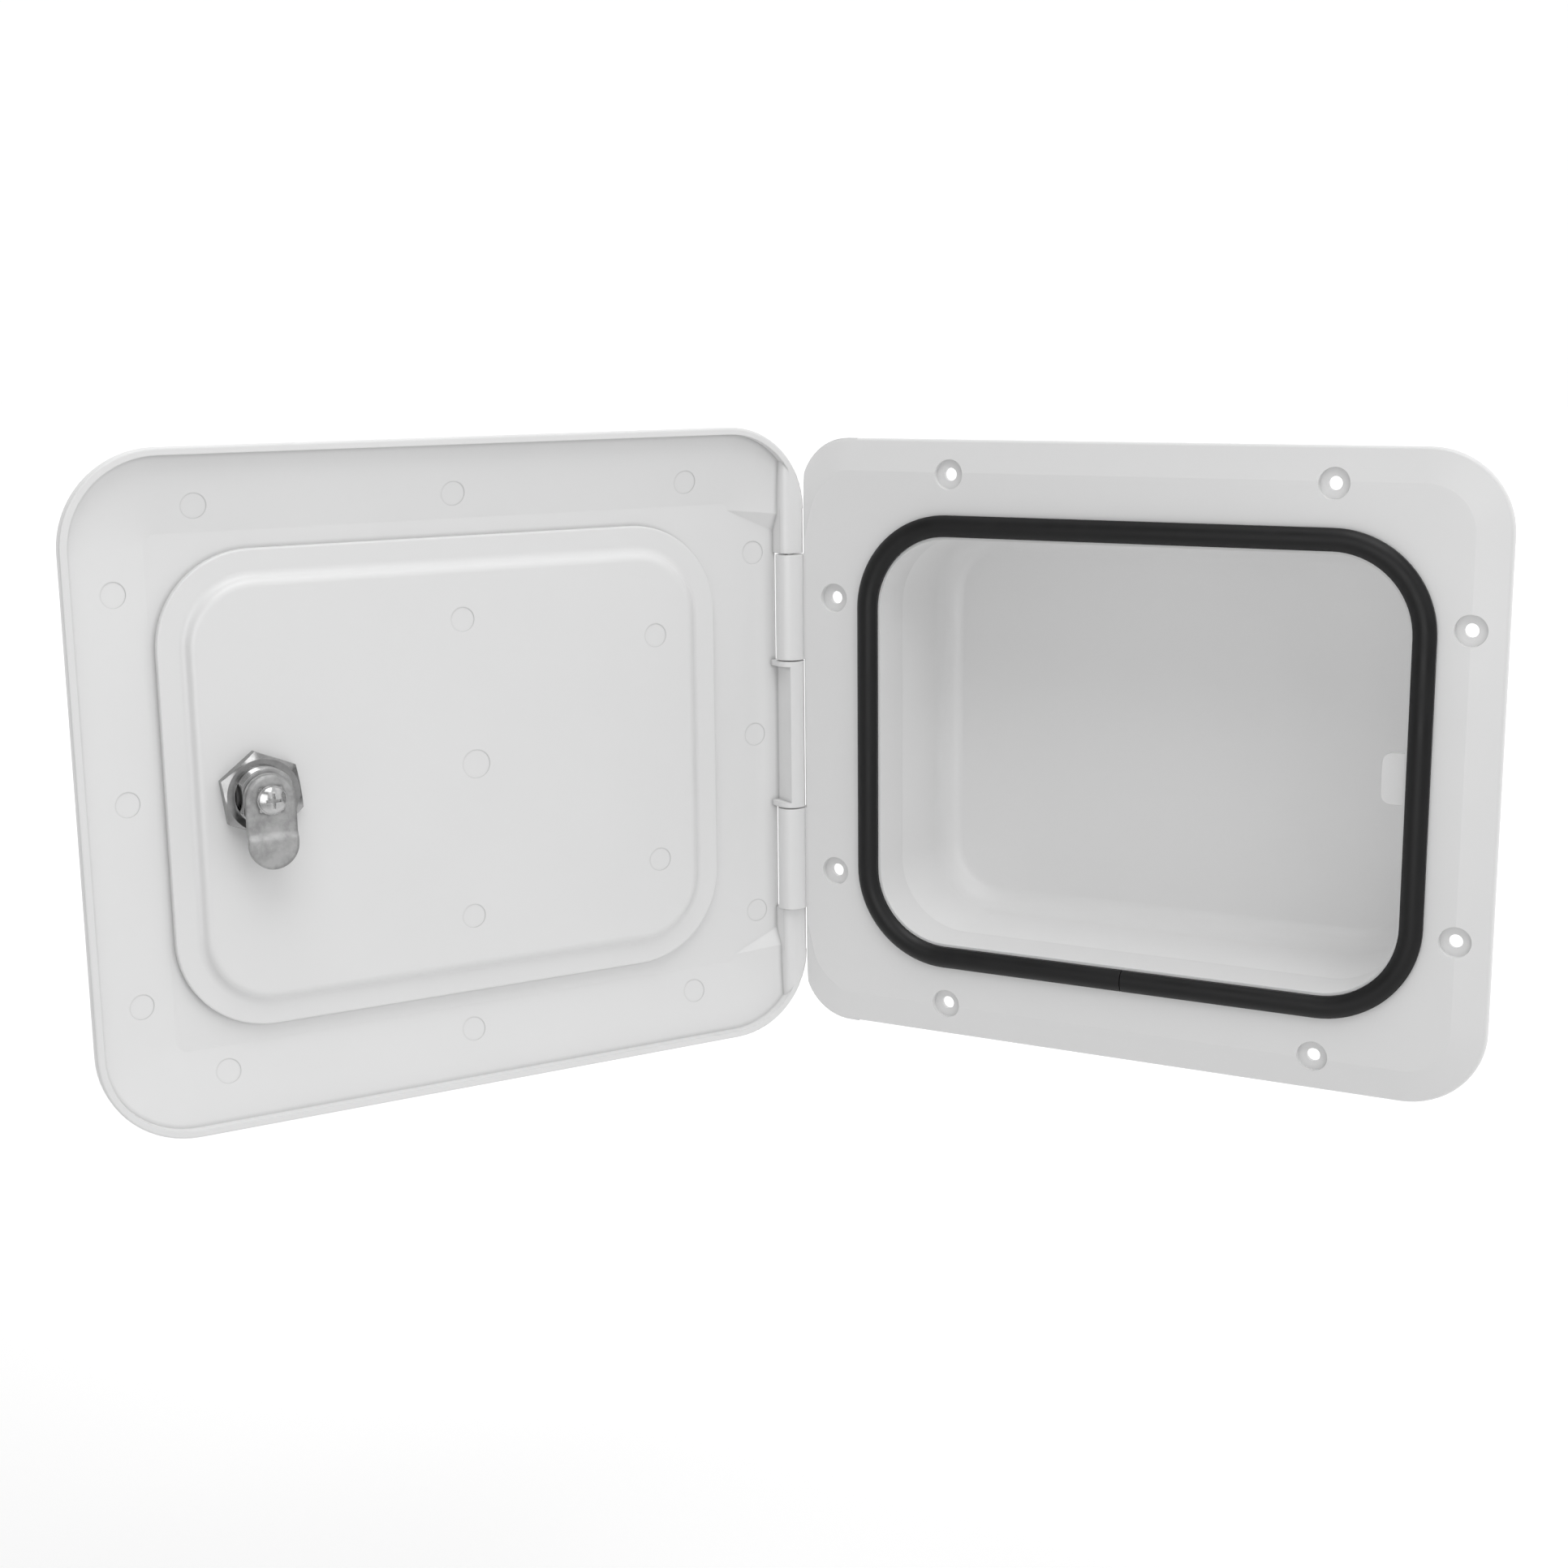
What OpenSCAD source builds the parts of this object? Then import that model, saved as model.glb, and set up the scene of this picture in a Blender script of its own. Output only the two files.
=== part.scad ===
// Lockable access door for a caravan wall: a flanged frame with a shallow closed box behind it,
// and a domed lid that closes over the whole frame.
//
// Axes: +Z up, the front of the door faces -Y, +X to the right seen from the front.
// Origin: the middle of the flange's back face, which lies flat on the wall.
// Flat mouldings are drawn face on: x across, y up, and z as the height in front of the wall.
// The lid is drawn closed and then swung open about its hinge pin.

/* [Frame] */
// Width of the flange over its outline
frame_w = 250; // [230:1:300]
// Height of the flange over its outline
frame_h = 218; // [200:1:260]
// Corner radius of the flange outline on the lock side
frame_corner = 27.5; // [24:0.5:31]
// How much further the flange reaches on the hinge side
hinge_side_more = 2; // [1.5:0.1:2.5]
// Corner radius of the flange outline on the hinge side
hinge_side_corner = 18.5; // [16:0.5:22]
// Thickness of the flange on its flat inner zone
flange_t = 3.8; // [3:0.1:5]
// Width of the outer band of the flange that slopes back to the wall
flange_slope_w = 11.5; // [9:0.5:14]
// Slope of that outer band, in degrees
flange_slope = 11; // [6:1:13]
// Width of the opening through the frame
opening_w = 189; // [160:1:196]
// Height of the opening through the frame
opening_h = 148; // [130:1:152]
// Corner radius of the opening
opening_corner = 26; // [20:1:32]
// How far the neck of the frame reaches behind the wall face
neck_depth = 15; // [13.5:0.5:22]
// Wall thickness of the mouldings
wall = 2.6; // [2:0.1:2.8]

/* [Fixing screws] */
// Diameter of the screw holes
screw_hole_d = 4.6; // [3.5:0.1:5]
// Diameter of the recess round each screw hole
screw_recess_d = 10.4; // [8:0.1:11]
// Depth of that recess
screw_recess_depth = 2.2; // [1:0.1:2.6]
// Spacing of the two holes along the top and along the bottom
top_screw_spacing = 136; // [100:1:160]
// Height between the top pair and the bottom pair
top_screw_rows = 193.6; // [176:0.1:236]
// Height between the two holes along each side
side_screw_spacing = 102.4; // [60:0.1:120]
// Width between the left pair and the right pair
side_screw_columns = 226.6; // [206:0.1:277]

/* [Box] */
// Depth of the box behind the wall face, measured inside
box_depth = 51; // [35:1:120]
// Wall thickness of the box
box_wall = 2.4; // [2:0.1:3]
// How much narrower each side of the box gets toward its back
box_draft = 1.2; // [0.5:0.1:3]
// Radius of the round edge at the back of the box, inside
box_edge_r = 8; // [4:0.5:12]

/* [Seal] */
// Width of the rubber seal
seal_w = 7.6; // [6:0.1:8.5]
// Height of the seal above the flange
seal_h = 3.5; // [2.5:0.1:3.6]
// Distance from the opening's edge to the seal
seal_inset = 1; // [0.5:0.1:2]
// Width of the butt joint in the seal, at its bottom
seal_joint = 0.3; // [0.2:0.1:1]

/* [Latch] */
// How far the keeper tab stands into the opening
keeper_reach = 8.9; // [7:0.1:10]
// Height of the keeper tab
keeper_h = 17.4; // [12:0.1:24]
// Thickness of the keeper tab
keeper_t = 2.5; // [2:0.1:3]
// Depth of the back face of that tab behind the wall face
keeper_back = 5.9; // [5:0.1:5.9]
// Distance of the lock's axis from the edge of the opening
lock_inset = 23.9; // [23.9:0.1:30]
// Diameter of the lock barrel
barrel_d = 19; // [16:0.5:22]
// Width across the flats of the barrel
barrel_flats = 16.5; // [14:0.5:19]
// Width across the flats of the hexagonal nut
nut_af = 25.3; // [23:0.1:27]
// Thickness of the nut
nut_t = 4; // [3:0.1:5]
// Width of the cam
cam_w = 16.4; // [12:0.1:17.4]
// Thickness of the cam
cam_t = 2; // [1.5:0.1:2.5]
// Length of the cam from the lock's axis to its tip
cam_reach = 23; // [20:0.1:23]
// How far the cranked tip steps inward
cam_crank = 1; // [1:0.1:1.6]

/* [Lid] */
// How far the lid reaches past the frame all round
lid_overlap = 4.4; // [4:0.1:6]
// Height of the lid's inner face above the wall
lid_inner = 10.8; // [10.7:0.1:12]
// Depth of the recessed panel of the lid
panel_step = 6; // [5.6:0.1:6]
// Slope of the lid's outer band, in degrees
lid_slope = 10; // [6:1:11]
// Depth of the ledge round that panel, which presses on the seal
ledge_step = 3.1; // [2.8:0.1:3.1]
// Angle at which the lid stands open in the rest pose
lid_open = 122; // [0:1:145]

/* [Hinge] */
// Distance of the hinge pin from the flange's edge
hinge_out = 3.8; // [3.8:0.1:4.2]
// Height of the hinge pin above the wall
hinge_up = 5.3; // [5.3:0.1:5.5]
// Radius of the hinge knuckles
knuckle_r = 5.1; // [4.6:0.1:5.1]
// Diameter of the hinge pin
pin_d = 3; // [2:0.1:3.5]
// Half the length of the lid's middle knuckle
knuckle_mid = 27.5; // [15:0.5:32]
// Height at which each frame knuckle ends
knuckle_far = 66.6; // [50:0.1:70]
// Half the length of the hinge pin
pin_half = 86; // [76:0.5:88]
// Gap between neighbouring knuckles
knuckle_gap = 0.5; // [0.3:0.1:1]

/* [Hidden] */
$fn = 96;

abs_white = "WhiteSmoke";
steel = "Silver";

// Clearance of the hinge pin in the lid's knuckles, on the radius
pin_clear = 0.05;
// Clearance of the lid's knuckles in the coves of the flange
knuckle_clear = 0.6;
// Radius of the rounded outer edge of the flange, of the lid, and of the foot of the lid's rim
flange_edge_r = 1.4;
lid_edge_r = 2.2;
foot_r = 0.8;
// Height of the lid's rim above the wall
rim_gap = 2.8;

// The hinge side is the left one, seen from the front
frame_left = frame_w / 2 + hinge_side_more;
hinge_x = -frame_left - hinge_out;
seal_mid = seal_inset + seal_w / 2;
// The seal's middle line, which the lid's ledge follows
line_w = opening_w + 2 * seal_mid;
line_h = opening_h + 2 * seal_mid;
line_corner = opening_corner + seal_mid;
lid_w = frame_w + 2 * lid_overlap;
lid_h = frame_h + 2 * lid_overlap;
lid_corner = frame_corner + lid_overlap;
// How far the lid's end knuckles reach past the pin, just inside the round of the other knuckles
past_pin = knuckle_r - 0.2;
lid_left = past_pin - hinge_x;
lid_left_corner = 30;
lid_outer = lid_inner + wall;
// Width of the lid's sloping band, which ends 7 outside the seal's middle line
lid_band = (lid_h - line_h) / 2 - 7;
// The ledge's edge, measured outward from that line, and its rounding
ledge_edge = 1.1;
ledge_r = 0.6;
ledge_inner = lid_inner - ledge_step;
// The soft step from the ledge to the panel, measured inward from that line: two arcs of one radius
step_start = 5.9;
step_r = 3;
step_angle = acos(1 - (panel_step - ledge_step) / (2 * step_r));
step_end = step_start + 2 * step_r * sin(step_angle);
panel_inner = lid_inner - panel_step;
panel_outer = panel_inner + wall;

// Crease round the flange's flat zone at the hinge corners, where its sloping band fades out
fade_corner = 18.5;
fade_x = 22.2 - frame_left;
fade_turn = 13.5;

// Flat zone of the lid along its hinge, with a ramp at each end down to the sloping band
ramp_x = lid_band - lid_left;
ramp_z = 83.4;
ramp_turn = 23.5;
ramp_tilt = 30;
// Free edge of that flat zone beside the frame's knuckles, measured from the pin
plate_past = 3;
// Inner wall of the lid's end knuckles, its rounding and their foot's, and the core of the middle one
end_wall = 3.9;
end_round = 3;
end_foot_r = 1.3;
core_wall = 2.5;
core_end = 2;
// Soft edge where the flat zone turns down over the lid's knuckles, measured from the pin
brow_r = 4;
brow = [3.8, lid_outer - hinge_up - brow_r];
brow_angle = atan2(brow[1], brow[0]) + acos((knuckle_r - brow_r) / norm(brow));
brow_line = [cos(brow_angle), sin(brow_angle)];

lock_x = opening_w / 2 - lock_inset;
keeper_corner = 3.5;
// Heights in front of the wall along the lock, so below zero is behind the wall
cam_top = -5.4;
barrel_end = -3.9;
plug_d = 13;
drive = 8;
lock_head_t = 3;
screw_d = 3.4;

// Ejector marks inside the lid
mark_d = 8.4;
mark_depth = 0.15;

// A small overlap or overshoot of joined and cut shapes
over = 1;

// Turns a shape drawn face on upright, so that its height points to the front
module upright() {
    rotate([90, 0, 0]) children();
}

// Puts a shape on the hinge axis
module at_hinge(z) {
    translate([hinge_x, -hinge_up, z]) children();
}

// Runs a profile along the hinge, face on: its x points across from the pin, its y to the front
module along_hinge(from, to) {
    translate([hinge_x, from, hinge_up]) rotate([90, 0, 0]) mirror([0, 0, 1])
        linear_extrude(height = to - from) children();
}

// Swings a shape of the closed lid to the rest pose
module swung() {
    at_hinge(0) rotate([0, 0, -lid_open]) translate([-hinge_x, hinge_up, 0]) children();
}

module quarter_disc(r) {
    intersection() {
        circle(r);
        square(r);
    }
}

// What a rounding of radius r takes off the corner of a square
module rounding(r) {
    difference() {
        square(r + over);
        circle(r);
    }
}

// Outline of a rectangle with round corners; left and left_r are set where the hinge side differs
module rounded(w, h, r, left = 0, left_r = 0) {
    l = left > 0 ? left : w / 2;
    lr = left_r > 0 ? left_r : r;
    difference() {
        translate([-l, -h / 2]) square([l + w / 2, h]);
        for (sy = [0, 1]) mirror([0, sy, 0]) {
            translate([w / 2 - r, h / 2 - r]) rounding(r);
            translate([lr - l, h / 2 - lr]) rotate(90) rounding(lr);
        }
    }
}

// Carries a profile round that outline: its x points outward from the line, its y to the front
module round_frame(w, h, r, left = 0, left_r = 0) {
    l = left > 0 ? left : w / 2;
    lr = left_r > 0 ? left_r : r;
    translate([w / 2, 0, 0]) rotate([90, 0, 0]) linear_extrude(height = h - 2 * r, center = true) children();
    translate([-l, 0, 0]) rotate([90, 0, 180]) linear_extrude(height = h - 2 * lr, center = true) children();
    for (sy = [0, 1]) mirror([0, sy, 0]) {
        translate([lr - l, h / 2, 0]) rotate([90, 0, 90])
            linear_extrude(height = w / 2 - r + l - lr) children();
        translate([w / 2 - r, h / 2 - r, 0]) rotate_extrude(angle = 90) translate([r, 0]) children();
        translate([lr - l, h / 2 - lr, 0]) rotate([0, 0, 90])
            rotate_extrude(angle = 90) translate([lr, 0]) children();
    }
}

// Outer band that slopes from height top at -band down to its rounded edge at 0
module sloping_band(band, top, slope, edge_r, bottom) {
    edge_v = top - (band - edge_r) * tan(slope) - edge_r / cos(slope);
    tangent = [-edge_r + edge_r * sin(slope), edge_v + edge_r * cos(slope)];
    polygon([
        [-band - over, bottom], [0, bottom], [0, edge_v], tangent, [-band, top], [-band - over, top]
    ]);
    translate([-edge_r, edge_v]) quarter_disc(edge_r);
}

module screw_places() {
    for (sx = [-1, 1], sy = [-1, 1]) {
        translate([sx * top_screw_spacing / 2, sy * top_screw_rows / 2, 0]) children();
        translate([sx * side_screw_columns / 2, sy * side_screw_spacing / 2, 0]) children();
    }
}

// Frame moulding

// Wedge above the flange's slope, its crease on the line
module slope_wedge() {
    reach = 40;
    polygon([
        [0, flange_t], [reach, flange_t - reach * tan(flange_slope)],
        [reach, 2 * flange_t], [0, 2 * flange_t]
    ]);
}

// Hinge side of the flange: flat, with the slope of the corners fading out of it
module flange_hinge_side() {
    round_z = frame_h / 2 - flange_slope_w - fade_corner;
    sink = 0.05;
    difference() {
        intersection() {
            union() {
                linear_extrude(height = flange_t - flange_edge_r)
                    rounded(frame_w, frame_h, hinge_side_corner, frame_left, hinge_side_corner);
                linear_extrude(height = flange_t) rounded(
                    frame_w - 2 * flange_edge_r, frame_h - 2 * flange_edge_r,
                    hinge_side_corner - flange_edge_r,
                    frame_left - flange_edge_r, hinge_side_corner - flange_edge_r
                );
                round_frame(frame_w, frame_h, hinge_side_corner, frame_left, hinge_side_corner)
                    translate([-flange_edge_r, flange_t - flange_edge_r]) quarter_disc(flange_edge_r);
            }
            translate([-frame_left, -frame_h / 2, 0]) cube([frame_left + fade_x, frame_h, flange_t]);
        }
        for (sy = [0, 1]) mirror([0, sy, 0]) translate([fade_x, round_z, -sink]) {
            rotate([0, 0, 90]) rotate_extrude(angle = 90 - fade_turn)
                translate([fade_corner, 0]) slope_wedge();
            rotate([0, 0, 180 - fade_turn]) translate([fade_corner, -over, -sink / 2]) rotate([90, 0, 0])
                mirror([0, 0, 1]) linear_extrude(height = 2 * fade_corner) slope_wedge();
        }
    }
}

module flange() {
    round_frame(frame_w, frame_h, frame_corner, frame_left, hinge_side_corner)
        sloping_band(flange_slope_w, flange_t, flange_slope, flange_edge_r, 0);
    linear_extrude(height = flange_t) rounded(
        frame_w - 2 * flange_slope_w, frame_h - 2 * flange_slope_w, frame_corner - flange_slope_w,
        frame_left - flange_slope_w, hinge_side_corner - flange_slope_w
    );
    flange_hinge_side();
}

module neck() {
    round_frame(opening_w, opening_h, opening_corner)
        translate([0, -neck_depth]) square([wall, neck_depth + flange_t / 2]);
}

module keeper() {
    translate([opening_w / 2 - keeper_reach, -keeper_h / 2, -keeper_back]) linear_extrude(height = keeper_t)
        difference() {
            square([keeper_reach + wall / 2, keeper_h]);
            translate([keeper_corner, keeper_corner]) rotate(180) rounding(keeper_corner);
            translate([keeper_corner, keeper_h - keeper_corner]) rotate(90) rounding(keeper_corner);
        }
}

module frame_knuckle() {
    foot = hinge_up - knuckle_r;
    along_hinge(knuckle_mid + knuckle_gap, knuckle_far) {
        circle(knuckle_r);
        translate([0, foot - hinge_up]) square([hinge_out + 2 * over, flange_t - flange_edge_r - foot]);
    }
}

module frame() {
    cove_r = knuckle_r + knuckle_clear;
    color(abs_white) difference() {
        union() {
            difference() {
                union() {
                    upright() difference() {
                        flange();
                        translate([0, 0, -over]) linear_extrude(height = flange_t + 2 * over)
                            rounded(opening_w, opening_h, opening_corner);
                    }
                    upright() neck();
                }
                // Coves for the lid's knuckles
                at_hinge(-knuckle_mid - knuckle_gap)
                    cylinder(h = 2 * (knuckle_mid + knuckle_gap), r = cove_r);
                for (s = [0, 1]) mirror([0, 0, s])
                    at_hinge(knuckle_far) cylinder(h = frame_h / 2, r = cove_r);
            }
            upright() keeper();
            upright() for (s = [0, 1]) mirror([0, s, 0]) frame_knuckle();
        }
        upright() screw_places() {
            translate([0, 0, -over]) cylinder(h = flange_t + 2 * over, d = screw_hole_d);
            translate([0, 0, flange_t - screw_recess_depth])
                cylinder(h = screw_recess_depth + over, d = screw_recess_d);
        }
        at_hinge(-pin_half) cylinder(h = 2 * pin_half, d = pin_d);
    }
}

// Closed box behind the neck

module box() {
    sleeve = 8;
    shoulder = 4;
    fit = 0.3;
    out = wall + box_wall;
    back = -box_depth - box_wall;
    // The round edge at the back: lean of the wall, its centre, and the ways across and down the wall
    lean = atan((fit + box_draft) / (box_depth - neck_depth));
    edge = [-box_draft - box_edge_r * (1 - sin(lean)) / cos(lean), box_edge_r - box_depth];
    aim = [cos(lean), -sin(lean)];
    down = [-sin(lean), -cos(lean)];
    far = 2 * (box_edge_r + box_wall);
    color(abs_white) upright() {
        round_frame(opening_w, opening_h, opening_corner) {
            polygon([
                [wall, -neck_depth + sleeve], [wall, -neck_depth], [fit, -neck_depth],
                edge + box_edge_r * aim, edge + (box_edge_r + box_wall / 2) * aim + over * down,
                edge + (box_edge_r + box_wall) * aim, [box_wall + fit, -neck_depth - shoulder],
                [out, -neck_depth], [out, -neck_depth + sleeve]
            ]);
            translate(edge) intersection() {
                difference() {
                    circle(box_edge_r + box_wall);
                    circle(box_edge_r);
                }
                polygon([[0, 0], far * aim, [far, -far], [0, -far]]);
            }
            translate([edge[0] - over, back]) square([over, box_wall]);
        }
        floor_in = over / 2 - edge[0];
        translate([0, 0, back]) linear_extrude(height = box_wall)
            rounded(opening_w - 2 * floor_in, opening_h - 2 * floor_in, opening_corner - floor_in);
    }
}

// Rubber seal round the opening, cut once at the bottom

module seal() {
    dome_r = 0.6 * seal_w;
    color([0.06, 0.06, 0.07]) upright() difference() {
        round_frame(line_w, line_h, line_corner) translate([0, flange_t]) intersection() {
            translate([-seal_w / 2, 0]) square([seal_w, seal_h]);
            translate([0, seal_h - dome_r]) circle(dome_r);
        }
        translate([-seal_joint / 2, -line_h / 2 - seal_w, 0])
            cube([seal_joint, 2 * seal_w, flange_t + 2 * seal_h]);
    }
}

module hinge_pin() {
    short = 1;
    color(steel) at_hinge(short - pin_half) cylinder(h = 2 * (pin_half - short), d = pin_d);
}

// Lid moulding, drawn closed

module lid_section() {
    difference() {
        sloping_band(lid_band, lid_outer, lid_slope, lid_edge_r, rim_gap);
        translate([-foot_r, rim_gap + foot_r]) rotate(-90) rounding(foot_r);
    }
}

// Hollow under the lid's band, inside its rim
module lid_hollow() {
    low = rim_gap - over;
    in = -lid_band - 2 * over;
    polygon([
        [in, low], [-wall, low], [-wall, lid_inner - (lid_band - wall) * tan(lid_slope)],
        [-lid_band, lid_inner], [in, lid_inner]
    ]);
}

// Rim and sloping band, solid where the end knuckles are
module lid_rim() {
    inner_left = lid_left - wall;
    inner_w = lid_w - 2 * wall;
    inner_h = lid_h - 2 * wall;
    difference() {
        round_frame(lid_w, lid_h, lid_corner, lid_left, lid_left_corner) lid_section();
        difference() {
            round_frame(lid_w, lid_h, lid_corner, lid_left, lid_left_corner) lid_hollow();
            translate([-lid_left, -lid_h / 2, 0]) cube([lid_left + hinge_x + end_wall, lid_h, lid_outer]);
        }
        // The soft inner edge of the end knuckles
        intersection() {
            linear_extrude(height = lid_outer)
                rounded(inner_w, inner_h, lid_corner - wall, inner_left, lid_left_corner - wall);
            translate([hinge_x + end_wall - end_round, 0, rim_gap + end_round]) rotate([90, 0, 0])
                linear_extrude(height = lid_h, center = true) rotate(-90) rounding(end_round);
        }
    }
}

// Half-space on the flat zone's side of the ramp plane, moved out by the given distance
module ramp_side(moved) {
    big = 400;
    translate([ramp_x, ramp_z, lid_inner]) rotate([0, 0, ramp_turn]) rotate([-ramp_tilt, 0, 0])
        translate([-big / 2, -big / 2, moved - big]) cube([big, big, big]);
}

// Wall of the ramp, between the inner face of the sloping band and the outer face of the flat zone
module ramp() {
    pin = [hinge_x, hinge_up];
    past = pin + knuckle_r * brow_line;
    low = lid_inner - (ramp_x - past[0]) * tan(lid_slope);
    difference() {
        intersection() {
            translate([0, ramp_z, 0]) rotate([90, 0, 0]) linear_extrude(height = ramp_z)
                polygon([
                    [ramp_x, lid_inner], [past[0], low], past, pin + brow + brow_r * brow_line,
                    [pin[0] + brow[0], lid_outer], [ramp_x, lid_outer]
                ]);
            ramp_side(wall);
        }
        ramp_side(0);
    }
}

// Section over a knuckle of the lid, from the pin: in is how far its solid reaches inward
module knuckle_section(in) {
    top = lid_outer - hinge_up;
    translate(brow) intersection() {
        circle(brow_r);
        translate([-brow_r, brow_r - wall]) square([brow_r + over, wall]);
    }
    polygon([
        [0, 0], knuckle_r * brow_line, brow + brow_r * brow_line, [brow[0], top], [brow[0] + 2 * over, top],
        [brow[0] + 2 * over, top - wall], [in, top - wall], [in, 0]
    ]);
}

// Outer wall of a knuckle, in front of the pin
module knuckle_back() {
    rotate(90) quarter_disc(knuckle_r);
}

module middle_knuckle() {
    along_hinge(-knuckle_mid, knuckle_mid) {
        knuckle_section(core_wall);
        intersection() {
            circle(knuckle_r);
            translate([-knuckle_r, -knuckle_r]) square([knuckle_r + core_wall, 2 * knuckle_r]);
        }
    }
    for (s = [0, 1]) mirror([0, s, 0]) along_hinge(knuckle_mid - core_end, knuckle_mid) {
        knuckle_section(knuckle_r);
        circle(knuckle_r);
    }
}

// End knuckle as far as the lid is flat, cut off at its outer side by the ramp
module end_knuckle() {
    foot = rim_gap - hinge_up;
    intersection() {
        along_hinge(knuckle_far + knuckle_gap, ramp_z) {
            knuckle_section(end_wall);
            knuckle_back();
            difference() {
                translate([-past_pin, foot]) square([past_pin + end_wall, -foot]);
                translate([end_foot_r - past_pin, foot + end_foot_r]) rotate(180) rounding(end_foot_r);
                translate([end_wall - end_round, foot + end_round]) rotate(-90) rounding(end_round);
            }
        }
        ramp_side(wall);
    }
}

// Flat zone of the lid along its hinge, with a ramp at its end, above the middle of the door
module hinge_half() {
    edge = hinge_x + plate_past;
    intersection() {
        translate([edge, -over, lid_inner]) cube([ramp_x - edge + over, ramp_z + over, wall]);
        ramp_side(wall);
    }
    ramp();
    end_knuckle();
}

module lid_panels() {
    in_ledge = over - ledge_edge;
    in_panel = step_end + over / 2;
    left = lid_left - lid_band;
    left_corner = lid_left_corner - lid_band;
    translate([0, 0, lid_inner]) linear_extrude(height = wall) difference() {
        rounded(lid_w - 2 * lid_band, lid_h - 2 * lid_band, lid_corner - lid_band, left, left_corner);
        rounded(line_w - 2 * in_ledge, line_h - 2 * in_ledge, line_corner - in_ledge);
    }
    translate([0, 0, panel_inner]) linear_extrude(height = wall)
        rounded(line_w - 2 * in_panel, line_h - 2 * in_panel, line_corner - in_panel);
}

// Bent part of the lid's wall, r inside, turning by the step's angle
module bent_wall(r) {
    far = 2 * (r + wall);
    intersection() {
        difference() {
            circle(r + wall);
            circle(r);
        }
        polygon([[0, 0], [far, 0], [far * cos(step_angle), far * sin(step_angle)]]);
    }
}

// Ledge that presses on the seal, and the soft step from it to the panel
module lid_step() {
    difference() {
        polygon([
            [ledge_edge, lid_outer], [ledge_edge - wall, lid_outer], [ledge_edge - wall, ledge_inner + wall],
            [-step_start, ledge_inner + wall], [-step_start, ledge_inner], [ledge_edge, ledge_inner]
        ]);
        translate([ledge_edge - ledge_r, ledge_inner + ledge_r]) rotate(-90) rounding(ledge_r);
    }
    translate([-step_start, ledge_inner - step_r]) rotate(90) bent_wall(step_r);
    translate([-step_end, panel_inner + step_r]) rotate(-90) bent_wall(step_r - wall);
    translate([-step_start, ledge_inner - step_r]) rotate(90 + step_angle)
        translate([step_r + wall / 4, -over / 2]) square([wall / 2, over]);
    translate([-step_end - over, panel_inner]) square([over, wall]);
}

module barrel_outline(clear) {
    intersection() {
        circle(d = barrel_d + 2 * clear);
        square([barrel_flats + 2 * clear, barrel_d + 2 * over], center = true);
    }
}

// Round marks of the ejector pins and of the gate inside the lid, in mirrored pairs and rows
module ejector_marks() {
    free_x = 112.6;
    hinge_x_in = -118.5;
    side_z = 67.5;
    edge_z = 94.3;
    middle_x = -2.4;
    edge_gap = 87.9;
    panel_z = 52;
    panel_side = [-75.2, 41];
    gate = [-5.4, 1.7];
    gate_d = 10;
    free_fall = (free_x - lid_w / 2 + lid_band) * tan(lid_slope);
    edge_fall = (edge_z - lid_h / 2 + lid_band) * tan(lid_slope);
    for (z = [-side_z, 0, side_z]) {
        mark(hinge_x_in, z, lid_inner, [0, 0, 0], mark_d);
        mark(free_x, z, lid_inner - free_fall, [0, lid_slope, 0], mark_d);
    }
    for (x = [middle_x - edge_gap, middle_x, middle_x + edge_gap], s = [-1, 1])
        mark(x, s * edge_z, lid_inner - edge_fall, [-s * lid_slope, 0, 0], mark_d);
    for (s = [-1, 1]) {
        mark(middle_x, s * panel_z, panel_inner, [0, 0, 0], mark_d);
        mark(panel_side[0], s * panel_side[1], panel_inner, [0, 0, 0], mark_d);
    }
    mark(gate[0], gate[1], panel_inner, [0, 0, 0], gate_d);
}

module mark(x, z, height, tilt, d) {
    translate([x, z, height]) rotate(tilt) translate([0, 0, mark_depth - wall]) cylinder(h = wall, d = d);
}

module lid() {
    barrel_clear = 0.2;
    color(abs_white) swung() upright() difference() {
        union() {
            difference() {
                lid_rim();
                // The band gives way to the flat zone between the ramps
                for (s = [0, 1]) mirror([0, s, 0]) intersection() {
                    translate([-lid_left - over, -over, 0])
                        cube([ramp_x + lid_left + over, ramp_z + over, lid_w]);
                    ramp_side(0);
                }
            }
            round_frame(line_w, line_h, line_corner) lid_step();
            lid_panels();
            middle_knuckle();
            for (s = [0, 1]) mirror([0, s, 0]) hinge_half();
        }
        ejector_marks();
        along_hinge(-lid_h / 2, pin_half + over) circle(d = pin_d + 2 * pin_clear);
        translate([lock_x, 0, panel_inner - over])
            linear_extrude(height = wall + 2 * over) barrel_outline(barrel_clear);
    }
}

// Lock, drawn on the closed lid

module at_lock() {
    swung() upright() translate([lock_x, 0, 0]) children();
}

module lock_body() {
    head_d = 24;
    head_taper = 3;
    bore = plug_d + 0.1;
    color(steel) at_lock() difference() {
        union() {
            translate([0, 0, barrel_end])
                linear_extrude(height = panel_outer - barrel_end) barrel_outline(0);
            translate([0, 0, panel_outer]) cylinder(h = lock_head_t, d1 = head_d, d2 = head_d - head_taper);
        }
        translate([0, 0, barrel_end - over])
            cylinder(h = panel_outer + lock_head_t - barrel_end + 2 * over, d = bore);
    }
}

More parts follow.
